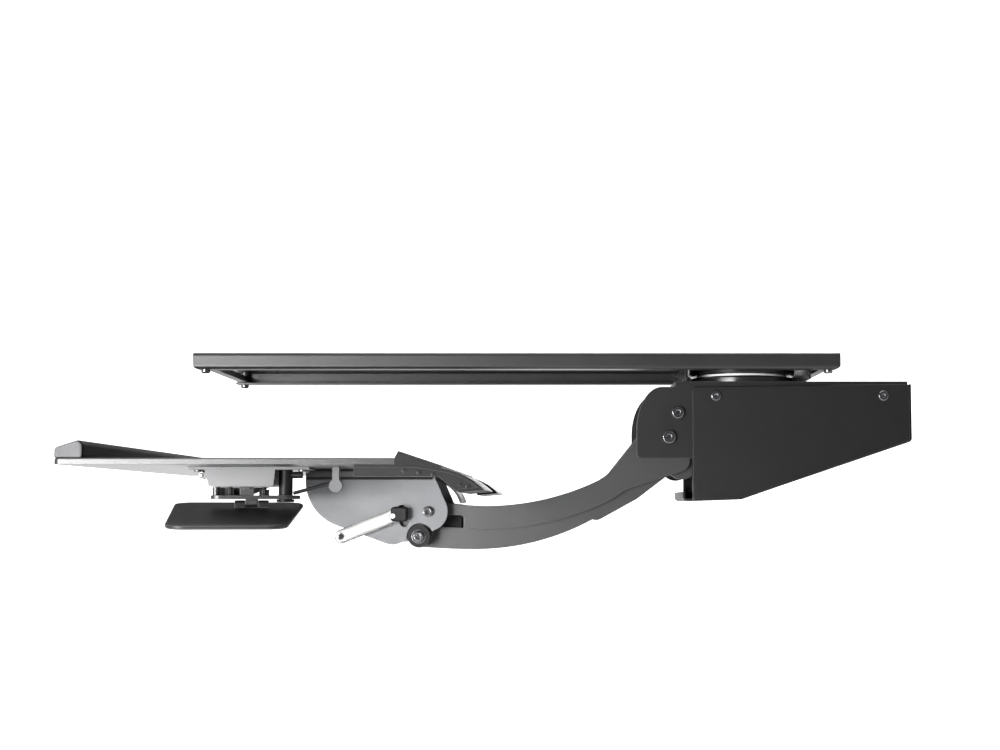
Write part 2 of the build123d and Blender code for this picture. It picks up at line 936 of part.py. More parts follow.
# Upper arm: the outer channel, open below, with tall rear cheeks that pass the lower pivot in a slot
upper_way = (upper_front, upper_rear, upper_heading, upper_bend_radii, upper_bend_turns)
upper_middle = arm_run(*upper_way, 0)
heel = (upper_rear[0] + heel_y - pair_out, upper_rear[1] + heel_z - pair_rise)
heel_root = side_point(upper_middle[1] @ heel_root_share)
slot_start = degrees(atan2(-pair_rise, -pair_out)) - lift_down_turn


def upper_cheek():
    """Side view of the upper arm's cheek, with its holes and slot."""
    with BuildSketch() as cheek:
        add(arm_band(*upper_way, arm_depth / 2, arm_depth / 2))
        with BuildSketch(mode=Mode.PRIVATE) as neck:
            with Locations((upper_front[0] + neck_cut_y, upper_front[1] - neck_cut_z)):
                RectangleRounded(
                    4 * arm_depth, 2 * arm_depth, neck_corner, align=(Align.MAX, Align.MAX)
                )
        add(neck.sketch, mode=Mode.SUBTRACT)
        with Locations(upper_front):
            Circle(upper_front_knuckle)
        add(
            hull(
                (upper_rear, upper_rear_knuckle),
                (heel, heel_radius),
                (heel_root, heel_root_radius),
            )
        )
        with Locations(upper_front, upper_rear):
            Circle(pivot_radius + running_gap, mode=Mode.SUBTRACT)
        SlotArc(
            Edge.make_circle(
                pair_length,
                Plane(origin=(*upper_rear, 0)),
                slot_start,
                slot_start + lift_up_turn + lift_down_turn,
            ),
            2 * (sleeve_radius + slot_side_gap),
            mode=Mode.SUBTRACT,
        )
    return cheek.sketch_local


with BuildPart() as upper_arm:
    with BuildSketch(Plane.YZ.offset(upper_arm_half - arm_sheet)):
        add(upper_cheek())
    extrude(amount=arm_sheet)
    mirror(about=Plane.YZ)
    with BuildSketch(Plane.YZ):
        add(arm_band(*upper_way, arm_depth / 2, arm_sheet - arm_depth / 2))
        with Locations(upper_front):
            Circle(web_start_radius, mode=Mode.SUBTRACT)
        web_end = upper_middle[-1] @ 0 - (upper_middle[-1] % 0) * web_rear_inset
        with Locations(
            Location((web_end.X, web_end.Y, 0), (0, 0, upper_heading + sum(upper_bend_turns)))
        ):
            Rectangle(
                arm_reach, arm_reach, align=(Align.MIN, Align.CENTER), mode=Mode.SUBTRACT
            )
    extrude(amount=upper_arm_half - arm_sheet, both=True)

# Lower arm: the inner channel, open above, with a block at the front and the spring lobe behind
lower_way = (lower_front, lower_rear, lower_heading, lower_bend_radii, lower_bend_turns)
lower_middle = arm_run(*lower_way, 0)
block_end = (lower_front[0] + front_block_run, (lower_middle[0] @ front_block_share).Y)
lobe = (spring_pin[0] + lobe_back, spring_pin[1])


def arm_crest():
    """Side view of the higher part of the lower arm's cheek, short of its steep bend."""
    with BuildSketch() as crest:
        top = arm_run(*lower_way, lower_crest)
        top_bend = top[1].trim(0, crest_share)
        foot_bend = lower_middle[1].trim(0, crest_share)
        with BuildLine():
            add([top[0], top_bend, lower_middle[0], foot_bend])
            Line(top[0] @ 0, lower_middle[0] @ 0)
            Line(top_bend @ 1, foot_bend @ 1)
        make_face()
    return crest.sketch_local


def below_line(edge, share, drop):
    """A place under an arm's centre line, at a share of one of its edges."""
    way = edge % share
    return side_point(edge @ share + Vector(way.Y, -way.X) * drop)


belly_front = below_line(lower_middle[1], belly_share, belly_front_drop)
belly_rear = below_line(lower_middle[-1], 0, belly_rear_drop)
with BuildPart() as lower_arm:
    with BuildSketch(Plane.YZ.offset(lower_arm_half - arm_sheet)):
        add(arm_band(*lower_way, lower_above, lower_below))
        add(arm_crest())
        add(hull((belly_front, belly_radius), (belly_rear, belly_radius)))
        add(hull((lower_front, lower_front_knuckle), (block_end, lower_front_knuckle)))
        add(hull((lower_rear, lower_rear_knuckle), (lobe, lobe_radius)))
        add(
            hull(
                (spring_pin, spring_boss_radius),
                (belly_rear, belly_radius),
                (lower_rear, lower_above),
            )
        )
        with Locations(lower_front, lower_rear):
            Circle(pivot_radius + running_gap, mode=Mode.SUBTRACT)
        with Locations(spring_pin):
            Circle(spring_pin_radius + screw_gap, mode=Mode.SUBTRACT)
    extrude(amount=arm_sheet)
    mirror(about=Plane.YZ)
    with BuildSketch(Plane.YZ):
        add(arm_band(*lower_way, arm_sheet - lower_below, lower_below))
        with Locations(lower_rear):
            Circle(lower_web_end_radius, mode=Mode.SUBTRACT)
    extrude(amount=lower_arm_half - arm_sheet, both=True)

# Arm bumper: a rubber block on the lower arm's web, where the upper arm's neck comes down on it
with BuildPart() as arm_bumper:
    with BuildSketch(Plane.YZ):
        with Locations((lower_front[0] + bumper_start, lower_front[1] + bumper_top)):
            Rectangle(bumper_length, bumper_height, align=(Align.MIN, Align.MAX))
        add(
            arm_band(*lower_way, arm_sheet - lower_below, lower_below + bumper_height),
            mode=Mode.SUBTRACT,
        )
    extrude(amount=lower_arm_half - arm_sheet - side_gap, both=True)

# Head yoke: two cheeks on a cross tube round the clamp shaft
with BuildPart() as head_yoke:
    with BuildSketch(Plane.YZ.offset(ear_inner)):
        add(
            hull(
                (lower_front, yoke_lower_radius),
                (upper_front, yoke_upper_radius),
                (clamp, clamp_boss_radius),
            )
        )
        with Locations(lower_front, upper_front, clamp):
            Circle(pivot_radius + screw_gap, mode=Mode.SUBTRACT)
    extrude(amount=frame_sheet)
    mirror(about=Plane.YZ)
    add(
        side_rings(
            -ear_inner, 2 * ear_inner, clamp_radius + screw_gap, clamp_tube_radius, [clamp]
        )
    )

head_end = tilt_outer + side_gap
with BuildPart() as lower_front_pivot:
    add(
        through_bolt(
            lower_front,
            -head_end - disc_height - ring_height,
            head_end + disc_height + ring_height,
            front_head_radius,
            front_head_height,
        )
    )

with BuildPart() as upper_front_pivot:
    add(through_bolt(upper_front, -head_end, head_end, front_head_radius, front_head_height))

# Washers and sleeves of the head, the same on both sides
with BuildPart() as head_washers:
    add(
        side_rings(
            lower_arm_half + side_gap,
            ear_inner - lower_arm_half - side_gap,
            bush_hole,
            head_sleeve_radius,
            [lower_front],
        )
    )
    add(
        side_rings(
            upper_arm_half + side_gap,
            ear_inner - upper_arm_half - side_gap,
            bush_hole,
            washer_radius,
            [upper_front],
        )
    )
    add(side_rings(ear_outer, head_end - ear_outer, bush_hole, head_sleeve_radius, [lower_front]))
    add(side_rings(head_end, disc_height, bush_hole, disc_radius, [lower_front]))
    add(
        side_rings(
            ear_outer, tilt_gap - side_gap, bush_hole, washer_radius, [upper_front]
        )
    )
    mirror(about=Plane.YZ)

with BuildPart() as pivot_rings:
    add(side_rings(head_end + disc_height, ring_height, bush_hole, ring_radius, [lower_front]))
    mirror(about=Plane.YZ)

# Tilt lock: shaft through the arc slots, black hub with a fork, and the bright lever in it
hub_inner = tilt_outer + hub_inner_gap
lever_inner = hub_inner + lever_inset
with BuildPart() as clamp_shaft:
    add(
        side_discs(
            -head_end - clamp_radius,
            head_end + clamp_radius + hub_inner + clamp_grip,
            clamp_radius,
            [clamp],
        )
    )
    add(side_discs(-head_end - clamp_radius, clamp_radius, upper_head_radius, [clamp]))

hub_middle = ((hub_front_y + hub_rear_y) / 2, (hub_top_z + hub_bottom_z) / 2)
fork_radius = lever_half_width + fork_gap
with BuildPart() as lever_hub:
    with BuildSketch(Plane.YZ.offset(hub_inner)):
        with Locations(hub_middle):
            RectangleRounded(hub_rear_y - hub_front_y, hub_top_z - hub_bottom_z, hub_corner)
    extrude(amount=hub_depth)
    chamfer(lever_hub.faces().sort_by(Axis.X)[-1].edges(), hub_corner / 2)
    with BuildSketch(Plane.YZ.offset(lever_inner - fork_gap)):
        with Locations(lever_pivot):
            Circle(fork_radius)
            Rectangle(
                arm_reach, arm_reach, align=(Align.MAX, Align.CENTER)
            )
    extrude(amount=lever_thickness + 2 * fork_gap, mode=Mode.SUBTRACT)
    add(
        side_discs(hub_inner, hub_depth, lever_pin_radius + screw_gap, [lever_pivot]),
        mode=Mode.SUBTRACT,
    )
    add(
        side_discs(hub_inner, clamp_grip, clamp_radius + screw_gap, [clamp]),
        mode=Mode.SUBTRACT,
    )

with BuildPart() as lever_pin:
    add(
        side_discs(
            hub_inner - lever_pin_proud / 2,
            hub_depth + lever_pin_proud,
            lever_pin_radius,
            [lever_pivot],
        )
    )

with BuildPart() as tilt_lever:
    with BuildSketch(Plane.YZ.offset(lever_inner)):
        add(hull((lever_pivot, lever_half_width), (lever_tip, lever_half_width)))
        with Locations(lever_pivot):
            Circle(lever_pin_radius + running_gap, mode=Mode.SUBTRACT)
        with Locations(lever_tip):
            Circle(lever_hole_radius, mode=Mode.SUBTRACT)
    extrude(amount=lever_thickness)
    with BuildSketch(Plane.YZ.offset(lever_inner)):
        add(
            hull(
                (lever_pivot, lever_half_width - lever_rim),
                (lever_tip, lever_half_width - lever_rim),
            )
        )
        with Locations(lever_pivot, lever_tip):
            Circle(lever_half_width - lever_rim, mode=Mode.SUBTRACT)
    extrude(amount=lever_pocket, mode=Mode.SUBTRACT)

with BuildPart() as lever_plug:
    add(
        side_discs(
            lever_inner,
            lever_thickness - lever_plug_step,
            lever_hole_radius - running_gap,
            [lever_tip],
        )
    )

# Tilt plates: one shape for both sides, with the arc slot and the notch round the lower pivot
board_floor = board_top - board_thickness
plate_top = board_floor - support_sheet
clamp_turn = degrees(atan2(clamp[1] - upper_front[1], clamp[0] - upper_front[0]))
clamp_reach = hypot(clamp[0] - upper_front[0], clamp[1] - upper_front[1])
notch_turn = degrees(atan2(-pair_rise, -pair_out)) + notch_shift_turn
notch_place = (
    upper_front[0] + pair_length * cos(radians(notch_turn)),
    upper_front[1] + pair_length * sin(radians(notch_turn)),
)
with BuildPart() as near_tilt_plate:
    with BuildSketch(Plane.YZ.offset(tilt_inner)):
        with Locations((plate_round_y, plate_round_z)):
            Circle(plate_round_radius)
        with Locations((plate_lobe_y, plate_lobe_z)):
            Circle(plate_lobe_radius)
        with Locations(upper_front):
            Circle(plate_pivot_radius)
        with Locations((plate_rear_y, plate_top)):
            Rectangle(
                plate_rear_y - plate_front_y, support_sheet, align=(Align.MAX, Align.MAX)
            )
        make_hull()
        with Locations((plate_round_y, plate_top)):
            Rectangle(
                arm_reach, arm_reach, align=(Align.CENTER, Align.MIN), mode=Mode.SUBTRACT
            )
        with Locations(notch_place):
            Circle(notch_radius, mode=Mode.SUBTRACT)
            Rectangle(
                2 * notch_radius,
                2 * plate_lobe_radius,
                align=(Align.CENTER, Align.MAX),
                mode=Mode.SUBTRACT,
            )
        with Locations(upper_front):
            Circle(pivot_radius + running_gap, mode=Mode.SUBTRACT)
        SlotArc(
            Edge.make_circle(
                clamp_reach,
                Plane(origin=(*upper_front, 0)),
                clamp_turn - tilt_down_turn - arc_slot_end_turn,
                clamp_turn + tilt_up_turn + arc_slot_end_turn,
            ),
            2 * (clamp_radius + side_gap),
            mode=Mode.SUBTRACT,
        )
    extrude(amount=tilt_sheet)

with BuildPart() as far_tilt_plate:
    add(near_tilt_plate.part)
    mirror(about=Plane.YZ, mode=Mode.REPLACE)

support_half = tilt_outer + support_sheet

# Screws into the board from below: four through the support, two through each wing's flange
tray_screw_points = [
    (x * support_screw_x, -(plate_front_y + inset))
    for x in (-1, 1)
    for inset in (support_screw_front, support_screw_rear)
] + [
    (x * place, -(wing_flange_y + wing_screw_inset))
    for x in (-1, 1)
    for place in (wing_screw_x, wing_screw_x + wing_screw_step)
]
tray_screw_depth = support_sheet + board_thickness / 2
with BuildPart() as tray_screws:
    add(
        cap_screws(
            facing_down(plate_top),
            tray_screw_points,
            tray_head_radius,
            tray_head_height,
            tray_screw_radius,
            tray_screw_depth,
        )
    )


def screw_holes(points, depth):
    """Clearance for the shanks of screws that go up from the support's underside."""
    with BuildPart() as holes:
        with BuildSketch(facing_down(plate_top)):
            with Locations(*points):
                Circle(tray_screw_radius + screw_gap)
        extrude(amount=-depth)
    return holes.part


# Tray support: a folded plate under the board, its rear edge carrying the hood over the pivots
with BuildPart() as tray_support:
    with BuildSketch(Plane.XZ.offset(-plate_front_y)):
        with BuildLine():
            lip = FilletPolyline(
                (-support_half, board_floor - support_depth),
                (-support_half, board_floor),
                (support_half, board_floor),
                (support_half, board_floor - support_depth),
                radius=support_bend,
            )
            offset(lip, amount=support_sheet, side=Side.RIGHT)
        make_face()
    extrude(amount=plate_front_y - plate_rear_y)
    with BuildSketch(Plane.YZ):
        with BuildLine():
            hood_way = CenterArc(
                upper_front, hood_outer, hood_first_angle, hood_last_angle - hood_first_angle
            )
            offset(hood_way, amount=hood_sheet, side=Side.LEFT)
        make_face()
    extrude(amount=hood_half, both=True)
    with BuildSketch(Plane.YZ):
        with Locations((upper_front[0], plate_top)):
            Rectangle(
                hood_sheet,
                plate_top - upper_front[1] - hood_outer + hood_sheet / 2,
                align=(Align.MAX, Align.MAX),
            )
    extrude(amount=hood_half, both=True)
    add(screw_holes(tray_screw_points, tray_screw_depth), mode=Mode.SUBTRACT)

# Lip trims: black strips along the lower edges of the support's lips
with BuildPart() as lip_trims:
    with BuildSketch(Plane.XY.offset(board_floor - support_depth)):
        for side in (-1, 1):
            with Locations(
                (side * (tilt_outer + support_sheet / 2), (plate_front_y + plate_rear_y) / 2)
            ):
                Rectangle(support_sheet, plate_rear_y - plate_front_y)
    extrude(amount=-lip_trim_height)

# Tray board: thin board with rounded corners
with BuildPart() as tray_board:
    with BuildSketch(Plane.XY.offset(board_floor)):
        with Locations((0, (board_front_y + board_rear_y) / 2)):
            Rectangle(board_width, board_rear_y - board_front_y)
    extrude(amount=board_thickness)
    fillet(tray_board.edges().filter_by(Axis.Z).group_by(Axis.Y)[0], board_corner)
    chamfer(tray_board.faces().sort_by(Axis.Z)[-1].edges(), board_edge)
    add(screw_holes(tray_screw_points, tray_screw_depth), mode=Mode.SUBTRACT)

# Palm rest: a slim padded bar along the front edge
with BuildPart() as palm_rest:
    with BuildSketch(Plane.YZ):
        with BuildLine():
            Polyline(
                (board_front_y, board_top),
                (board_front_y + rest_depth, board_top),
                (board_front_y + rest_depth, board_top + rest_height),
                (board_front_y + rest_chamfer_y, board_top + rest_height),
                (board_front_y, board_top + rest_height - rest_chamfer_z),
                close=True,
            )
        make_face()
    extrude(amount=board_width / 2 - rest_end_inset, both=True)
    fillet(palm_rest.edges().filter_by(Axis.X).group_by(Axis.Z)[-1], rest_side_round)

# Keyboard stop: a wedge along the board's rear edge, flat below where the support meets it
stop_knee_y = plate_rear_y + side_gap
with BuildPart() as keyboard_stop:
    with BuildSketch(Plane.YZ):
        with BuildLine():
            Polyline(
                (board_rear_y, board_floor),
                (board_rear_y, board_top),
                (board_rear_y + stop_front_lean, board_top + stop_rise),
                (stop_bar_rear_y, stop_bar_rear_z),
                (stop_bar_rear_y, stop_bar_rear_z - stop_bar_rear_thickness),
                (stop_knee_y, board_floor),
                close=True,
            )
        make_face()
    extrude(amount=board_width / 2, both=True)

# Rear wings: folded sheet under the board and the wedge, curling down behind, one each side of the arms
wing_low_z = stop_bar_rear_z - stop_bar_rear_thickness
wing_inner = support_half + side_gap
wing_span = board_width / 2 - wing_side_inset - wing_inner


def wing_line():
    """Outer line of a wing's side view: the flange, the slope under the wedge and the curl."""
    with BuildLine() as line:
        flange = Polyline(
            (wing_flange_y, board_floor), (stop_knee_y, board_floor), (stop_bar_rear_y, wing_low_z)
        )
        ThreePointArc(flange @ 1, (wing_mid_y, wing_mid_z), (wing_tip_y, wing_tip_z))
    return line.line


def wing_section():
    """Side view of a wing's folded sheet, its hem turned back under the curl."""
    with BuildSketch() as section:
        with BuildLine():
            add(wing_line())
            Line((wing_tip_y, wing_tip_z), (wing_return_y, wing_return_z))
            offset(amount=support_sheet, side=Side.RIGHT)
        make_face()
    return section.sketch_local


def wing_end_face():
    """Side view of a wing's end plate, which fills what the sheet folds round."""
    with BuildSketch() as face:
        with BuildLine():
            add(wing_line())
            Polyline(
                (wing_tip_y, wing_tip_z),
                (wing_return_y, wing_return_z),
                (wing_end_knee_y, wing_end_low_z),
                (wing_flange_y, wing_end_low_z),
                (wing_flange_y, board_floor),
            )
        make_face()
        add(wing_section(), mode=Mode.SUBTRACT)
    return face.sketch_local


with BuildPart() as near_wing:
    with BuildSketch(Plane.YZ.offset(wing_inner)):
        add(wing_section())
    extrude(amount=wing_span)
    add(screw_holes(tray_screw_points, tray_screw_depth), mode=Mode.SUBTRACT)

with BuildPart() as far_wing:
    add(near_wing.part)
    mirror(about=Plane.YZ, mode=Mode.REPLACE)

# Wing ends: plates that close the wings' outer ends, each with five small screws in its face
wing_outer = wing_inner + wing_span
end_screw_points = [
    (
        front_y - end_screw_front_ahead + step * end_screw_step,
        front_z + end_screw_front_rise - step * end_screw_step * end_screw_fall_share,
    )
    for step in range(3)
] + [
    (
        front_y - end_screw_rear_ahead + step * end_screw_rear_step,
        front_z + end_screw_rear_rise - step * end_screw_rear_step * 2 * end_screw_fall_share,
    )
    for step in range(2)
]
with BuildPart() as near_wing_end:
    with BuildSketch(Plane.YZ.offset(wing_outer)):
        add(wing_end_face())
        with Locations(*end_screw_points):
            Circle(end_screw_radius + running_gap, mode=Mode.SUBTRACT)
    extrude(amount=-wing_end_sheet)

with BuildPart() as far_wing_end:
    add(near_wing_end.part)
    mirror(about=Plane.YZ, mode=Mode.REPLACE)

with BuildPart() as wing_end_screws:
    for side in (-1, 1):
        add(
            cap_screws(
                Plane(origin=(side * wing_outer, 0, 0), x_dir=(0, 1, 0), z_dir=(side, 0, 0)),
                [(y, side * z) for y, z in end_screw_points],
                end_head_radius,
                end_head_height,
                end_screw_radius,
                wing_end_sheet,
            )
        )

# Mouse bracket: a pressed pan under the board with a flange at each end and a lug for the roller
flange_floor = board_floor - bracket_sheet
with BuildPart() as mouse_bracket:
    with BuildSketch(Plane.YZ.offset(mouse_x)):
        with BuildLine():
            Polyline(
                (bracket_front_y, board_floor),
                (bracket_rear_y, board_floor),
                (bracket_rear_y - bracket_taper / 3, bracket_bottom_z),
                (bracket_front_y + bracket_taper, bracket_bottom_z),
                close=True,
            )
        make_face()
    extrude(amount=bracket_width / 2, both=True)
    fillet(mouse_bracket.edges().filter_by(Axis.X).group_by(Axis.Z)[0], bracket_sheet)
    with BuildSketch(Plane.YZ.offset(mouse_x)):
        with BuildLine():
            Polyline(
                (bracket_front_y + bracket_sheet, board_floor),
                (bracket_rear_y - bracket_sheet, board_floor),
                (bracket_rear_y - bracket_taper / 3 - bracket_sheet, bracket_bottom_z + bracket_sheet),
                (bracket_front_y + bracket_taper + bracket_sheet, bracket_bottom_z + bracket_sheet),
                close=True,
            )
        make_face()
    extrude(amount=bracket_width / 2 - bracket_sheet, both=True, mode=Mode.SUBTRACT)
    with BuildSketch(Plane.XY.offset(board_floor)):
        with Locations((mouse_x, bracket_front_y + bracket_sheet)):
            Rectangle(
                bracket_width, bracket_front_flange + bracket_sheet, align=(Align.CENTER, Align.MAX)
            )
        with Locations((mouse_x, bracket_rear_y - bracket_sheet)):
            Rectangle(
                bracket_width, bracket_rear_flange + bracket_sheet, align=(Align.CENTER, Align.MIN)
            )
    extrude(amount=-bracket_sheet)
    with BuildSketch(Plane.YZ.offset(mouse_x + roller_length)):
        add(
            hull(
                ((roller_y, roller_z), roller_hook_radius),
                ((bracket_front_y + bracket_taper, roller_z), roller_hook_radius),
            )
        )
        with Locations((roller_y, roller_z)):
            Circle(roller_pin_radius + screw_gap, mode=Mode.SUBTRACT)
    extrude(amount=roller_hook_sheet)
    bracket_screw_points = [
        (mouse_x + x * bracket_width / 4, -y)
        for x in (-1, 1)
        for y in (
            bracket_front_y - bracket_front_flange / 2,
            bracket_rear_y + 3 * bracket_rear_flange / 4,
        )
    ]
    with BuildSketch(facing_down(flange_floor)):
        with Locations(*bracket_screw_points):
            Circle(bracket_screw_radius + screw_gap)
    extrude(amount=-bracket_sheet, mode=Mode.SUBTRACT)

with BuildPart() as bracket_roller:
    add(side_discs(mouse_x, roller_length, roller_radius, [(roller_y, roller_z)]))
    add(
        side_discs(
            mouse_x, roller_length + 2 * roller_hook_sheet, roller_pin_radius, [(roller_y, roller_z)]
        )
    )

with BuildPart() as bracket_screws:
    add(
        cap_screws(
            facing_down(flange_floor),
            bracket_screw_points,
            bracket_head_radius,
            bracket_head_height,
            bracket_screw_radius,
            bracket_sheet,
        )
    )

# Mouse post: black barrel under the rear flange, with a foot that the carrier turns on
carrier_floor = carrier_top_z - carrier_sheet
with BuildPart() as mouse_post:
    with BuildSketch(Plane.XY.offset(flange_floor)):
        with Locations((mouse_x, post_y)):
            Circle(post_radius)
    extrude(amount=carrier_floor - side_gap - flange_floor)
    with BuildSketch(Plane.XY.offset(carrier_floor - side_gap)):
        with Locations((mouse_x, post_y)):
            Circle(post_foot_radius)
    extrude(amount=-post_foot_height)
    chamfer(mouse_post.faces().sort_by(Axis.Z)[0].edges(), post_foot_height / 3)
    with BuildSketch(Plane.XZ.offset(-post_y)):
        with Locations((mouse_x, flange_floor - post_knob_drop)):
            Circle(post_knob_radius)
    extrude(amount=-post_knob_length)

# Mouse carrier: plate that swings about the post, drawn along its own turned axes
carrier_plane = Plane(
    origin=(mouse_x, post_y, 0),
    x_dir=(cos(radians(platform_turn)), sin(radians(platform_turn)), 0),
    z_dir=(0, 0, 1),
)
hinge_run = hinge_y - post_y
stem_top = bracket_bottom_z - side_gap
with BuildPart() as mouse_carrier:
    with BuildSketch(carrier_plane.offset(carrier_top_z)):
        add(
            hull(
                ((0, 0), carrier_root_radius),
                ((-carrier_tip_half, carrier_front_y - post_y + carrier_tip_radius), carrier_tip_radius),
                ((carrier_tip_half, carrier_front_y - post_y + carrier_tip_radius), carrier_tip_radius),
            )
        )
        Circle(post_radius + running_gap, mode=Mode.SUBTRACT)
        with Locations((0, thumb_front_y - post_y), (0, thumb_rear_y - post_y)):
            Circle(thumb_stem_radius + running_gap, mode=Mode.SUBTRACT)
    extrude(amount=-carrier_sheet)
    with BuildSketch(carrier_plane.offset(carrier_top_z)):
        with Locations((0, guide_post_y - post_y)):
            Circle(guide_post_radius)
        with Locations((carrier_tip_half + catch_sheet, catch_y - post_y)):
            Rectangle(catch_sheet, catch_width)
    extrude(amount=stem_top - carrier_top_z)
    with BuildSketch(carrier_plane.offset(stem_top)):
        with Locations((carrier_tip_half + catch_sheet, catch_y - post_y)):
            Rectangle(catch_foot, catch_width / 2)
    extrude(amount=-catch_sheet)
    with BuildSketch(carrier_plane.offset(carrier_floor)):
        with Locations((0, hinge_run)):
            Rectangle(2 * hinge_knuckle_radius, hinge_middle_length)
    extrude(amount=hinge_z - carrier_floor)
    with Locations(carrier_plane.location * Location((0, hinge_run, hinge_z))):
        Cylinder(hinge_knuckle_radius, hinge_middle_length, rotation=(90, 0, 0))
        Cylinder(
            hinge_pin_radius + running_gap,
            hinge_middle_length,
            rotation=(90, 0, 0),
            mode=Mode.SUBTRACT,
        )

# Carrier riser: a light sheet standing along the carrier's far side, its rear edge leaning back
carrier_side = Plane(
    origin=carrier_plane.origin - carrier_plane.x_dir * riser_offset,
    x_dir=carrier_plane.y_dir,
    z_dir=carrier_plane.x_dir,
)
with BuildPart() as carrier_riser:
    with BuildSketch(carrier_side):
        with BuildLine():
            Polyline(
                (-riser_front, carrier_top_z),
                (-riser_low_rear, carrier_top_z),
                (-riser_top_rear, stem_top),
                (-riser_front, stem_top),
                close=True,
            )
        make_face()
    extrude(amount=-riser_sheet)

hinge_place = carrier_plane.location * Location((0, hinge_run, hinge_z))
hinge_length = hinge_middle_length + 2 * (hinge_side_length + hinge_gap)
with BuildPart() as mouse_hinge_pin:
    with Locations(hinge_place):
        Cylinder(hinge_pin_radius, hinge_length, rotation=(90, 0, 0))


def thumbscrew(place):
    """Knurled thumbscrew in the carrier: stem up to the bracket, head on the carrier plate."""
    with BuildPart() as screw:
        with BuildSketch(carrier_plane.offset(carrier_top_z)):
            with Locations((0, place - post_y)):
                Circle(thumb_head_radius)
                with PolarLocations(thumb_head_radius, thumb_groove_count):
                    Circle(thumb_groove_radius, mode=Mode.SUBTRACT)
        extrude(amount=thumb_head_height)
        with BuildSketch(carrier_plane.offset(carrier_floor)):
            with Locations((0, place - post_y)):
                Circle(thumb_stem_radius)
        extrude(amount=stem_top - carrier_floor)
    return screw.part


with BuildPart() as thumbscrew_front:
    add(thumbscrew(thumb_front_y))

with BuildPart() as thumbscrew_rear:
    add(thumbscrew(thumb_rear_y))

# Mouse platform: rounded plate on two knuckles, turned with the carrier and falling to its near side
fall = radians(platform_fall)
turn = radians(platform_turn)
deck_plane = Plane(
    origin=hinge_place.position,
    x_dir=(cos(turn) * cos(fall), sin(turn) * cos(fall), -sin(fall)),
    z_dir=(cos(turn) * sin(fall), sin(turn) * sin(fall), cos(fall)),
)
deck_top = -hinge_knuckle_radius - platform_gap
knuckle_step = (hinge_middle_length + hinge_side_length) / 2 + hinge_gap
with BuildPart() as mouse_platform:
    with BuildSketch(deck_plane.offset(deck_top)) as deck:
        with Locations((platform_shift_x, platform_shift_y)):
            Trapezoid(
                platform_width, platform_length, platform_side_angle, rotation=-quarter_turn
            )
        fillet(deck.vertices(), platform_corner)
    extrude(amount=-platform_thickness)
    chamfer(mouse_platform.faces().sort_by(Axis.Z)[-1].edges(), platform_edge)
    with BuildSketch(deck_plane.offset(deck_top)):
        with Locations((0, -knuckle_step), (0, knuckle_step)):
            Rectangle(2 * hinge_knuckle_radius, hinge_side_length)
    extrude(amount=-deck_top)
    for side in (-1, 1):
        with Locations(deck_plane.location * Location((0, side * knuckle_step, 0))):
            Cylinder(hinge_knuckle_radius, hinge_side_length, rotation=(90, 0, 0))
    with Locations(deck_plane.location):
        Cylinder(
            hinge_pin_radius + running_gap, hinge_length, rotation=(90, 0, 0), mode=Mode.SUBTRACT
        )

# Cord guide: bent rod under the board, its rear end in a rounded tab


def guide_rod(radius):
    """The guide's rod, with a given radius."""
    with BuildPart() as rod:
        with BuildLine(Plane.YZ.offset(mouse_x)) as way:
            FilletPolyline(guide_front, guide_knee, guide_rear, radius=guide_bend)
        with BuildSketch(Plane(origin=way.line @ 0, z_dir=way.line % 0)):
            Circle(radius)
        sweep()
    return rod.part


with BuildPart() as cord_guide:
    add(guide_rod(guide_rod_radius))

with BuildPart() as cord_guide_clip:
    with BuildSketch(Plane.YZ.offset(mouse_x)):
        with Locations(clip_place):
            Circle(clip_radius)
        with Locations((clip_place[0], board_floor)):
            Rectangle(
                clip_stem_width, board_floor - clip_place[1], align=(Align.CENTER, Align.MAX)
            )
    extrude(amount=clip_thickness / 2, both=True)
    add(guide_rod(guide_rod_radius + screw_gap), mode=Mode.SUBTRACT)

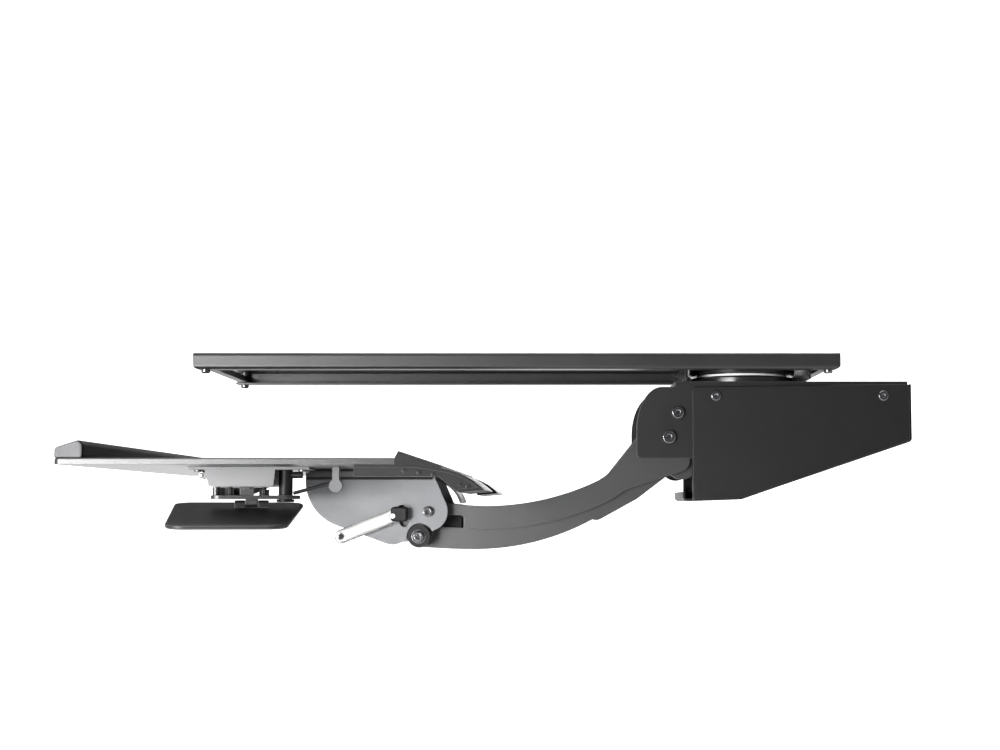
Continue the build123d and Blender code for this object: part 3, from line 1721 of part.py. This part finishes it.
pieces = {
    "rail_channel": rail_channel,
    "rail_stops": rail_stops,
    "rail_stop_screws": rail_stop_screws,
    "carriage_plate": carriage_plate,
    "glide_blocks": glide_blocks,
    "swivel_race_upper": swivel_race_upper,
    "swivel_ring": swivel_ring,
    "swivel_pivot": swivel_pivot,
    "swivel_race_lower": swivel_race_lower,
    "housing_frame": housing_frame,
    "near_side_cover": near_side_cover,
    "far_side_cover": far_side_cover,
    "rear_cover": rear_cover,
    "cover_screws": cover_screws,
    "lower_rear_pivot": lower_rear_pivot,
    "upper_rear_pivot": upper_rear_pivot,
    "pivot_bushes": pivot_bushes,
    "spring_anchor_pin": spring_anchor_pin,
    "gas_spring_cylinder": gas_spring_cylinder,
    "gas_spring_rod": gas_spring_rod,
    "spring_arm_pin": spring_arm_pin,
    "lower_arm": lower_arm,
    "arm_bumper": arm_bumper,
    "upper_arm": upper_arm,
    "head_yoke": head_yoke,
    "lower_front_pivot": lower_front_pivot,
    "upper_front_pivot": upper_front_pivot,
    "head_washers": head_washers,
    "pivot_rings": pivot_rings,
    "clamp_shaft": clamp_shaft,
    "lever_hub": lever_hub,
    "lever_pin": lever_pin,
    "tilt_lever": tilt_lever,
    "lever_plug": lever_plug,
    "near_tilt_plate": near_tilt_plate,
    "far_tilt_plate": far_tilt_plate,
    "tray_support": tray_support,
    "lip_trims": lip_trims,
    "tray_board": tray_board,
    "palm_rest": palm_rest,
    "keyboard_stop": keyboard_stop,
    "near_wing": near_wing,
    "far_wing": far_wing,
    "near_wing_end": near_wing_end,
    "far_wing_end": far_wing_end,
    "wing_end_screws": wing_end_screws,
    "tray_screws": tray_screws,
    "mouse_bracket": mouse_bracket,
    "bracket_roller": bracket_roller,
    "bracket_screws": bracket_screws,
    "mouse_post": mouse_post,
    "mouse_carrier": mouse_carrier,
    "carrier_riser": carrier_riser,
    "mouse_hinge_pin": mouse_hinge_pin,
    "thumbscrew_front": thumbscrew_front,
    "thumbscrew_rear": thumbscrew_rear,
    "mouse_platform": mouse_platform,
    "cord_guide": cord_guide,
    "cord_guide_clip": cord_guide_clip,
}
os.makedirs("parts", exist_ok=True)
for name, piece in pieces.items():
    piece.part.label = name
    export_step(piece.part, f"parts/{name}.step")
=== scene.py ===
import math

import bpy
import numpy as np
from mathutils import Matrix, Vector


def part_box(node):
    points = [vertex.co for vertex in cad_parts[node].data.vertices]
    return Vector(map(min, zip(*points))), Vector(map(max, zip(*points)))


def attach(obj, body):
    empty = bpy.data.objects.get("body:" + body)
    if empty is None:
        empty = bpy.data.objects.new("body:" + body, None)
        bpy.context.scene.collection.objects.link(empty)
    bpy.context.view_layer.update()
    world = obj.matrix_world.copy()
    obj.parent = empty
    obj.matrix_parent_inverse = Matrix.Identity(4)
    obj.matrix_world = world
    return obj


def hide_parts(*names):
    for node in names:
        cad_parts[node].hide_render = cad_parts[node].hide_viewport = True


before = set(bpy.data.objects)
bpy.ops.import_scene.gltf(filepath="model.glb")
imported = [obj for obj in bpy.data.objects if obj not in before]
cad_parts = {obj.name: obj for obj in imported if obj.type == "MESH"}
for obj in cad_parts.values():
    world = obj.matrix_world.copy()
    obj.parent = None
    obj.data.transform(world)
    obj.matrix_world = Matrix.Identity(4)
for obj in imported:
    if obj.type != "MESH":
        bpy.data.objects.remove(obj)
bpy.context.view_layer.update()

# Camera: stands 1.5 m to the user's right of the tray, just under the desk top's height, and looks
# across at it and a little up, as the photograph does.
camera_place = (1.5776, 0.0373, -0.1428)
look_up = math.radians(4.73)
look_way = Vector((-math.cos(look_up), 0, math.sin(look_up)))
camera_data = bpy.data.cameras.new("camera")
camera_data.sensor_width = 36
camera_data.lens = 57.53
camera_data.shift_x = -0.057
camera = bpy.data.objects.new("camera", camera_data)
camera.location = camera_place
camera.rotation_mode = "QUATERNION"
camera.rotation_quaternion = look_way.to_track_quat("-Z", "Y")
bpy.context.scene.collection.objects.link(camera)
bpy.context.scene.camera = camera

# Studio: a sweep of white paper for floor and back wall, far enough below to take no hard shadow
# and lit white, in a pale room. A gridded soft box to the camera's left makes black paint shine
# there and stay dark at the other end, a second one hangs above, and a third fills the far side.


def smooth_object(name, points, faces):
    """A smooth-shaded object in the scene, from its points and from lists of the points' numbers
    round each face."""
    mesh = bpy.data.meshes.new(name)
    mesh.from_pydata(points.reshape(-1, 3).tolist(), [], faces)
    mesh.polygons.foreach_set("use_smooth", [True] * len(mesh.polygons))
    made = bpy.data.objects.new(name, mesh)
    bpy.context.scene.collection.objects.link(made)
    return made


def fade_by_x(tree, coordinates, start, end, target):
    """The target socket follows the X coordinate: from the start's place and value it goes evenly
    to the end's, and it stays level beyond both."""
    place = tree.nodes.new("ShaderNodeTexCoord")
    axes = tree.nodes.new("ShaderNodeSeparateXYZ")
    fade = tree.nodes.new("ShaderNodeMapRange")
    fade.inputs["From Min"].default_value, fade.inputs["To Min"].default_value = start
    fade.inputs["From Max"].default_value, fade.inputs["To Max"].default_value = end
    tree.links.new(place.outputs[coordinates], axes.inputs["Vector"])
    tree.links.new(axes.outputs["X"], fade.inputs["Value"])
    tree.links.new(fade.outputs["Result"], target)


# The sweep's profile is level from its front edge, with a seam under the tray, to its back. There
# it turns up through a quarter circle, back by the radius times the sine of the angle and up by
# the radius times one less the cosine, and ends in a plain wall.
sweep_width, sweep_front, sweep_seam, sweep_back = 26, 13, 0, -5
floor_height, sweep_radius, wall_height = -1.7, 1.6, 6
arc = np.linspace(0, math.pi / 2, 25)
arc_x = sweep_back - sweep_radius * np.sin(arc)
arc_z = sweep_radius * (1 - np.cos(arc))
sweep_x = np.r_[sweep_front, sweep_seam, arc_x, sweep_back - sweep_radius]
sweep_y = np.array([-sweep_width / 2, sweep_width / 2])
sweep_z = floor_height + np.r_[0, 0, arc_z, wall_height]
sweep_points = np.stack(
    np.broadcast_arrays(sweep_x[:, None], sweep_y[None, :], sweep_z[:, None]), axis=-1
)
strips = np.arange(len(sweep_x) - 1)[:, None] * 2 + np.array([[0, 1, 3, 2]])
paper_sweep = smooth_object("paper_sweep", sweep_points, strips.tolist())

# The paper glows a little, and more towards its back.
glow_near, glow_far = (-0.8, 0.5), (-2.8, 0.8)
paper = bpy.data.materials.new("paper")
paper.use_nodes = True
paper_shader = paper.node_tree.nodes["Principled BSDF"]
paper_shader.inputs["Base Color"].default_value = (0.92, 0.92, 0.92, 1)
paper_shader.inputs["Roughness"].default_value = 0.9
paper_shader.inputs["Emission Color"].default_value = (1, 1, 1, 1)
paper_glow = paper_shader.inputs["Emission Strength"]
fade_by_x(paper.node_tree, "Object", glow_near, glow_far, paper_glow)
paper_sweep.data.materials.append(paper)

# The room is white, and dims towards the user's right by the X part of the way looked in.
room_bright, room_dim = (0.2, 0.85), (0.9, 0.14)
room = bpy.data.worlds.new("room")
bpy.context.scene.world = room
room.use_nodes = True
room_shader = room.node_tree.nodes["Background"]
room_shader.inputs["Color"].default_value = (1, 1, 1, 1)
fade_by_x(room.node_tree, "Generated", room_bright, room_dim, room_shader.inputs["Strength"])
bpy.context.scene.view_settings.view_transform = "Standard"


def soft_box(name, place, aim, width, height, watts, grid):
    """A rectangular light at a place, turned to face an aim point, whose grid lets light out within
    an angle in degrees."""
    lamp = bpy.data.lights.new(name, "AREA")
    lamp.shape = "RECTANGLE"
    lamp.size, lamp.size_y = width, height
    lamp.energy = watts
    lamp.spread = math.radians(grid)
    light = bpy.data.objects.new(name, lamp)
    light.location = place
    light.rotation_mode = "QUATERNION"
    light.rotation_quaternion = (Vector(aim) - Vector(place)).to_track_quat("-Z", "Y")
    bpy.context.scene.collection.objects.link(light)


soft_box("left_box", (1.75, -1.25, -0.25), (0.1, -0.45, -0.08), 1.3, 0.9, watts=27, grid=70)
soft_box("top_box", (0.2, -0.2, 2.2), (0, 0, 0), 2.0, 2.0, watts=30, grid=180)
soft_box("far_box", (-2.2, 0.3, 1.1), (0, 0, -0.1), 1.6, 1.2, watts=28, grid=110)

# Rail: a C channel of 2 mm sheet steel, folded, punched and powder coated satin black, with two
# square bars screwed across its ends as stops. The coat has a fine grain, slow changes of shade,
# and goes grey along the folds and cut edges: partly rubbed wear, partly a painted highlight.


def coat(name, colour, roughness, metallic=0.0, shine=0.5, drift=0.2):
    """A material of one shader. Its colour is the given one times a factor that follows slow noise
    in patches of a few centimetres, from one less the drift share to one more."""
    patch_scale, patch_detail = 24, 4
    noise_low, noise_high = 0.3, 0.7
    made = bpy.data.materials.new(name)
    made.use_nodes = True
    tree = made.node_tree
    shader = tree.nodes["Principled BSDF"]
    shader.inputs["Roughness"].default_value = roughness
    shader.inputs["Metallic"].default_value = metallic
    shader.inputs["Specular IOR Level"].default_value = shine
    place = tree.nodes.new("ShaderNodeTexCoord")
    slow = tree.nodes.new("ShaderNodeTexNoise")
    slow.inputs["Scale"].default_value = patch_scale
    slow.inputs["Detail"].default_value = patch_detail
    spread = tree.nodes.new("ShaderNodeMapRange")
    spread.inputs["From Min"].default_value = noise_low
    spread.inputs["From Max"].default_value = noise_high
    shade = tree.nodes.new("ShaderNodeMix")
    shade.data_type = "RGBA"
    shade.inputs["A"].default_value = (*[part * (1 - drift) for part in colour], 1)
    shade.inputs["B"].default_value = (*[part * (1 + drift) for part in colour], 1)
    tree.links.new(place.outputs["Object"], slow.inputs["Vector"])
    tree.links.new(slow.outputs["Fac"], spread.inputs["Value"])
    tree.links.new(spread.outputs["Result"], shade.inputs["Factor"])
    tree.links.new(shade.outputs["Result"], shader.inputs["Base Color"])
    return made


def grain(material, scale, height, spread, stretch=(1, 1, 1)):
    """Fine noise, stretched along an axis, bumps the surface, and moves its roughness by the spread
    each way."""
    noise_detail, bump_depth = 3, 0.0004
    tree = material.node_tree
    shader = tree.nodes["Principled BSDF"]
    place = tree.nodes.new("ShaderNodeTexCoord")
    turn = tree.nodes.new("ShaderNodeMapping")
    turn.inputs["Scale"].default_value = stretch
    noise = tree.nodes.new("ShaderNodeTexNoise")
    noise.inputs["Scale"].default_value = scale
    noise.inputs["Detail"].default_value = noise_detail
    bump = tree.nodes.new("ShaderNodeBump")
    bump.inputs["Strength"].default_value = height
    bump.inputs["Distance"].default_value = bump_depth
    gloss = tree.nodes.new("ShaderNodeMapRange")
    level = shader.inputs["Roughness"].default_value
    gloss.inputs["To Min"].default_value = level - spread
    gloss.inputs["To Max"].default_value = level + spread
    tree.links.new(place.outputs["Object"], turn.inputs["Vector"])
    tree.links.new(turn.outputs["Vector"], noise.inputs["Vector"])
    tree.links.new(noise.outputs["Fac"], bump.inputs["Height"])
    tree.links.new(noise.outputs["Fac"], gloss.inputs["Value"])
    tree.links.new(gloss.outputs["Result"], shader.inputs["Roughness"])
    tree.links.new(bump.outputs["Normal"], shader.inputs["Normal"])


def edge_wear_and_painted_light(material, colour, radius, amount):
    """The coat goes towards another colour where the surface turns within a radius: the dot product
    of the rounded normal and the true one, mapped to a share that is none where they are alike and
    the full amount where they are well apart. The edge colour is partly wear and partly painted
    light: a painted highlight where it is lighter than the coat, a painted dark outline where it is
    darker. The rounded normal also lights the edge."""
    bevel_samples = 6
    alike_enough, well_apart = 0.995, 0.8
    tree = material.node_tree
    shader = tree.nodes["Principled BSDF"]
    rounded = tree.nodes.new("ShaderNodeBevel")
    rounded.samples = bevel_samples
    rounded.inputs["Radius"].default_value = radius
    true_way = tree.nodes.new("ShaderNodeNewGeometry")
    alike = tree.nodes.new("ShaderNodeVectorMath")
    alike.operation = "DOT_PRODUCT"
    edge = tree.nodes.new("ShaderNodeMapRange")
    edge.inputs["From Min"].default_value = alike_enough
    edge.inputs["From Max"].default_value = well_apart
    edge.inputs["To Max"].default_value = amount
    mix = tree.nodes.new("ShaderNodeMix")
    mix.data_type = "RGBA"
    mix.inputs["B"].default_value = (*colour, 1)
    sound = shader.inputs["Base Color"].links[0].from_socket
    bump = shader.inputs["Normal"].links[0].from_node
    tree.links.new(sound, mix.inputs["A"])
    tree.links.new(rounded.outputs["Normal"], alike.inputs[0])
    tree.links.new(true_way.outputs["True Normal"], alike.inputs[1])
    tree.links.new(alike.outputs["Value"], edge.inputs["Value"])
    tree.links.new(edge.outputs["Result"], mix.inputs["Factor"])
    tree.links.new(mix.outputs["Result"], shader.inputs["Base Color"])
    tree.links.new(rounded.outputs["Normal"], bump.inputs["Normal"])


def dress(material, *names):
    """The CAD nodes of these names take the material in place of their plain one."""
    for name in names:
        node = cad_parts[name]
        node.data.materials.clear()
        node.data.materials.append(material)


rail_coat = coat("rail_coat", (0.008, 0.008, 0.0086), 0.37, shine=0.4)
grain(rail_coat, 900, 0.2, 0.05)
# The grey along the rail's folds and cut edges is partly rubbed wear, partly a painted highlight.
edge_wear_and_painted_light(rail_coat, (0.09, 0.09, 0.095), 0.0007, 0.7)
dress(rail_coat, "rail_channel", "rail_stops")

blackened_steel = coat("blackened_steel", (0.1, 0.1, 0.105), 0.2, metallic=0.9)
grain(blackened_steel, 1200, 0.12, 0.07)
# The pale grey round the screws' edges is partly wear to bare metal, partly a painted glint.
edge_wear_and_painted_light(blackened_steel, (0.6, 0.6, 0.62), 0.0006, 0.9)
dress(blackened_steel, "rail_stop_screws")

# Carriage: a folded plate that runs inside the rail on four nylon blocks, with the upper pressed
# disc of the swivel riveted under it. A nylon ring turns between that disc and the housing's.
pressed_steel = coat("pressed_steel", (0.012, 0.012, 0.0125), 0.22, metallic=0.3)
grain(pressed_steel, 700, 0.1, 0.06)
edge_wear_and_painted_light(pressed_steel, (0.16, 0.16, 0.165), 0.0005, 0.8)
dress(pressed_steel, "carriage_plate", "swivel_race_upper", "swivel_race_lower")

black_nylon = coat("black_nylon", (0.005, 0.005, 0.0053), 0.45, shine=0.15)
grain(black_nylon, 700, 0.15, 0.05)
edge_wear_and_painted_light(black_nylon, (0.06, 0.06, 0.062), 0.0005, 0.6)
dress(black_nylon, "glide_blocks")

white_nylon = coat("white_nylon", (0.7, 0.7, 0.68), 0.4, drift=0.05)
grain(white_nylon, 700, 0.1, 0.05)
dress(white_nylon, "swivel_ring")

zinc_plate = coat("zinc_plate", (0.5, 0.51, 0.53), 0.32, metallic=1.0)
grain(zinc_plate, 500, 0.12, 0.08, (0.15, 1, 1))
edge_wear_and_painted_light(zinc_plate, (0.7, 0.7, 0.72), 0.0004, 0.5)
dress(zinc_plate, "swivel_pivot")

# Rear housing: a welded steel frame whose two ears carry the arms, closed by screwed-on side
# covers of fine-textured sheet and a folded pan behind and below.
frame_coat = coat("frame_coat", (0.005, 0.005, 0.0052), 0.38, shine=0.3)
grain(frame_coat, 1000, 0.25, 0.05)
# The lighter grey along the frame's edges is partly wear, partly a painted highlight.
edge_wear_and_painted_light(frame_coat, (0.11, 0.11, 0.115), 0.0006, 0.8)
dress(frame_coat, "housing_frame")

cover_skin = coat("cover_skin", (0.004, 0.004, 0.0042), 0.44, shine=0.22, drift=0.12)
grain(cover_skin, 1600, 0.35, 0.05)
edge_wear_and_painted_light(cover_skin, (0.06, 0.06, 0.062), 0.0007, 0.7)
dress(cover_skin, "near_side_cover", "far_side_cover", "rear_cover")

dress(blackened_steel, "cover_screws", "lower_rear_pivot", "upper_rear_pivot")
dress(black_nylon, "pivot_bushes")

# Gas spring, out of sight in the housing: a gloss black tube with a hard chromed rod, between a
# pin through the housing and one in the lower arm.
tube_paint = coat("tube_paint", (0.01, 0.01, 0.01), 0.18)
grain(tube_paint, 300, 0.05, 0.04)
edge_wear_and_painted_light(tube_paint, (0.05, 0.05, 0.05), 0.0005, 0.5)
dress(tube_paint, "gas_spring_cylinder")

rod_chrome = coat("rod_chrome", (0.75, 0.75, 0.76), 0.12, metallic=1.0, drift=0.05)
grain(rod_chrome, 900, 0.05, 0.04, (1, 0.2, 1))
dress(rod_chrome, "gas_spring_rod")
dress(zinc_plate, "spring_anchor_pin", "spring_arm_pin")

# Arms: two curved channels of 3 mm steel, one inside the other, folded and coated like the frame.
# A rubber block on the lower one's web keeps them apart when the tray is right up.
arm_coat = coat("arm_coat", (0.009, 0.009, 0.0096), 0.38, shine=0.6)
grain(arm_coat, 1000, 0.22, 0.05)
# The lighter grey along the arms' rims is partly wear, partly a painted highlight.
edge_wear_and_painted_light(arm_coat, (0.12, 0.12, 0.125), 0.0006, 0.8)
dress(arm_coat, "upper_arm", "lower_arm", "head_yoke")

rubber = coat("rubber", (0.006, 0.006, 0.006), 0.75, shine=0.2)
grain(rubber, 800, 0.3, 0.05)
edge_wear_and_painted_light(rubber, (0.05, 0.05, 0.05), 0.0006, 0.6)
dress(rubber, "arm_bumper")

# Head: bolts with nylon washers and steel rings through the arms and the yoke, and the tilt lock, a
# shaft pulled tight by a moulded black hub that a nickel-plated lever turns.
dress(blackened_steel, "lower_front_pivot", "upper_front_pivot", "pivot_rings")
dress(black_nylon, "head_washers", "lever_hub", "lever_plug")
dress(zinc_plate, "clamp_shaft", "lever_pin")

nickel = coat("nickel", (0.3, 0.3, 0.295), 0.36, metallic=1.0, drift=0.05)
grain(nickel, 900, 0.1, 0.06, (1, 0.08, 0.3))
# The near-black colour along the lever's edges is a painted dark outline: painted shade.
edge_wear_and_painted_light(nickel, (0.004, 0.004, 0.004), 0.0055, 1)
dress(nickel, "tilt_lever")

# Tilt plates and the folded support under the board: sheet steel in a satin grey coat, with a black
# strip under the support's lips that stands for the lips' shadow on the plates: painted shadow.
grey_coat = coat("grey_coat", (0.075, 0.077, 0.082), 0.38, shine=0.6)
grain(grey_coat, 1100, 0.2, 0.05)
edge_wear_and_painted_light(grey_coat, (0.3, 0.31, 0.32), 0.0005, 0.7)
dress(grey_coat, "near_tilt_plate", "far_tilt_plate")

support_coat = coat("support_coat", (0.035, 0.0355, 0.037), 0.4, shine=0.5)
grain(support_coat, 1100, 0.2, 0.05)
edge_wear_and_painted_light(support_coat, (0.15, 0.15, 0.155), 0.0005, 0.7)
dress(support_coat, "tray_support")
# The black strip under the lips is painted shadow, where the lips shade the tilt plates.
dress(rubber, "lip_trims")

# Board and keyboard stop: 5 mm black phenolic board, sanded and sealed, its cut edges a lighter
# grey, partly wear and partly a painted highlight, and a wedge-shaped bar screwed on along the rear
# edge.
board_face = coat("board_face", (0.009, 0.009, 0.0095), 0.32, shine=0.5)
grain(board_face, 1500, 0.15, 0.05)
edge_wear_and_painted_light(board_face, (0.14, 0.14, 0.145), 0.0007, 0.8)
dress(board_face, "tray_board")
stop_face = coat("stop_face", (0.006, 0.006, 0.0063), 0.5, shine=0.15)
grain(stop_face, 1500, 0.2, 0.05)
edge_wear_and_painted_light(stop_face, (0.05, 0.05, 0.052), 0.0006, 0.7)
dress(stop_face, "keyboard_stop")
dress(blackened_steel, "tray_screws")

# Wings: curved sheets behind the board either side of the arm, each closed by an end plate with
# small round-headed screws.
wing_coat = coat("wing_coat", (0.005, 0.005, 0.0053), 0.48, shine=0.15)
grain(wing_coat, 1000, 0.22, 0.05)
edge_wear_and_painted_light(wing_coat, (0.09, 0.09, 0.095), 0.0006, 0.7)
dress(wing_coat, "near_wing", "far_wing")
end_coat = coat("end_coat", (0.008, 0.008, 0.0083), 0.5, shine=0.15)
grain(end_coat, 1000, 0.22, 0.05)
edge_wear_and_painted_light(end_coat, (0.15, 0.15, 0.155), 0.0005, 0.7)
dress(end_coat, "near_wing_end", "far_wing_end")
dress(pressed_steel, "wing_end_screws")

# Mouse platform's holder: a hat-shaped bracket of dark grey sheet under the board, a nylon roller
# and post, and a swinging carrier with its hinge pin and two thumbscrews.
dress(support_coat, "mouse_bracket", "carrier_riser")
dress(arm_coat, "mouse_carrier")
dress(white_nylon, "bracket_roller")
dress(blackened_steel, "bracket_screws")
dress(black_nylon, "mouse_post", "thumbscrew_front", "thumbscrew_rear")
dress(zinc_plate, "mouse_hinge_pin")

# Mouse platform: a thin moulded plate with a soft grain and a rounded edge, painted lighter along
# it as a highlight line.
platform_skin = coat("platform_skin", (0.006, 0.006, 0.0066), 0.42, shine=0.25)
grain(platform_skin, 1400, 0.25, 0.05)
edge_wear_and_painted_light(platform_skin, (0.16, 0.16, 0.165), 0.001, 0.9)
dress(platform_skin, "mouse_platform")

# Cord guide: a bent black-coated wire under the board, held by a small dark grey clip.
dress(black_nylon, "cord_guide")
dress(support_coat, "cord_guide_clip")

# Palm rest: a slim bar of closed-cell foam, its long sides faced with black cloth and its ends a
# lighter grey, painted light where the soft box falls on them, glued along the board's front edge.
rest_low, rest_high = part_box("palm_rest")
front, rear = rest_low.y, rest_high.y
bottom, top = rest_low.z, rest_high.z
half_length = rest_high.x

# Its section fills the CAD box: sharp lower edges, a round upper one at the rear, and a flat top
# that slopes down to a blunt nose in front.
sharp_edge, round_edge = 0.0006, 0.0035
slope_start, slope_end = 0.019, 0.0015
slope_drop, nose_drop = 0.0056, 0.0075
outline = np.array(
    [
        (front + sharp_edge, bottom),
        (rear - sharp_edge, bottom),
        (rear, bottom + sharp_edge),
        (rear, top - round_edge),
        (rear - round_edge, top),
        (front + slope_start, top),
        (front + slope_end, top - slope_drop),
        (front, top - nose_drop),
        (front, bottom + sharp_edge),
    ]
)

# A ring of points at even distances along the section, each of them moved three times to the mean
# of its two neighbours and twice itself.
ring_points, evening_passes = 96, 3
closed = np.vstack([outline, outline[:1]])
distance = np.r_[0, np.cumsum(np.linalg.norm(np.diff(closed, axis=0), axis=1))]
stops = np.linspace(0, distance[-1], ring_points, endpoint=False)
ring_y = np.interp(stops, distance, closed[:, 0])
ring_z = np.interp(stops, distance, closed[:, 1])
for _ in range(evening_passes):
    ring_y = (np.roll(ring_y, 1) + 2 * ring_y + np.roll(ring_y, -1)) / 4
    ring_z = (np.roll(ring_z, 1) + 2 * ring_z + np.roll(ring_z, -1)) / 4
middle_y, middle_z = ring_y.mean(), ring_z.mean()

# The ring repeats along the bar. Through the last few millimetres at each end an angle goes from 0
# to a quarter turn: the place moves out by the round's radius times its sine, while the ring draws
# in towards its middle by the round's share of the reach, times one less the cosine.
end_round, round_reach = 0.003, 0.012
run_rings, end_rings = 240, 9
turn = np.linspace(0, math.pi / 2, end_rings)
end_x = half_length - end_round + end_round * np.sin(turn)
end_scale = 1 - (end_round / round_reach) * (1 - np.cos(turn))
run_x = np.linspace(-(half_length - end_round), half_length - end_round, run_rings)[1:-1]
rest_x = np.r_[-end_x[::-1], run_x, end_x]
rest_scale = np.r_[end_scale[::-1], np.ones(run_rings - 2), end_scale]
rest_points = np.stack(
    [
        np.repeat(rest_x[:, None], ring_points, axis=1),
        middle_y + (ring_y - middle_y)[None, :] * rest_scale[:, None],
        np.maximum(bottom, middle_z + (ring_z - middle_z)[None, :] * rest_scale[:, None]),
    ],
    axis=-1,
)

# Four-sided faces join each ring to the next, and one flat face closes each end.
around = np.arange(ring_points)[None, :]
ring_start = np.arange(len(rest_x) - 1)[:, None] * ring_points
first = ring_start + around
second = ring_start + (around + 1) % ring_points
sides = np.stack([first, second, second + ring_points, first + ring_points], axis=-1)
last_ring = (len(rest_x) - 1) * ring_points
caps = [
    list(range(ring_points))[::-1],
    list(range(last_ring, last_ring + ring_points)),
]
palm_rest_pad = smooth_object("palm_rest_pad", rest_points, sides.reshape(-1, 4).tolist() + caps)

# Cloth on the long sides, and on the caps and the faces near them a lighter grey: painted light.
lit_end_depth = 0.0008
rest_cloth = coat("rest_cloth", (0.004, 0.004, 0.0044), 0.85, shine=0.05)
grain(rest_cloth, 1500, 0.6, 0.08)
rest_foam = coat("rest_foam", (0.08, 0.08, 0.084), 0.7, shine=0.4, drift=0.3)
grain(rest_foam, 1800, 0.8, 0.1)
palm_rest_pad.data.materials.append(rest_cloth)
palm_rest_pad.data.materials.append(rest_foam)
row_x = np.abs(rest_x[:-1] + rest_x[1:]) / 2
lit_end_rows = (row_x > half_length - lit_end_depth).repeat(ring_points)
lit_end_faces = np.r_[lit_end_rows, True, True].astype(int)
palm_rest_pad.data.polygons.foreach_set("material_index", lit_end_faces)
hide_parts("palm_rest")
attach(palm_rest_pad, "tray")
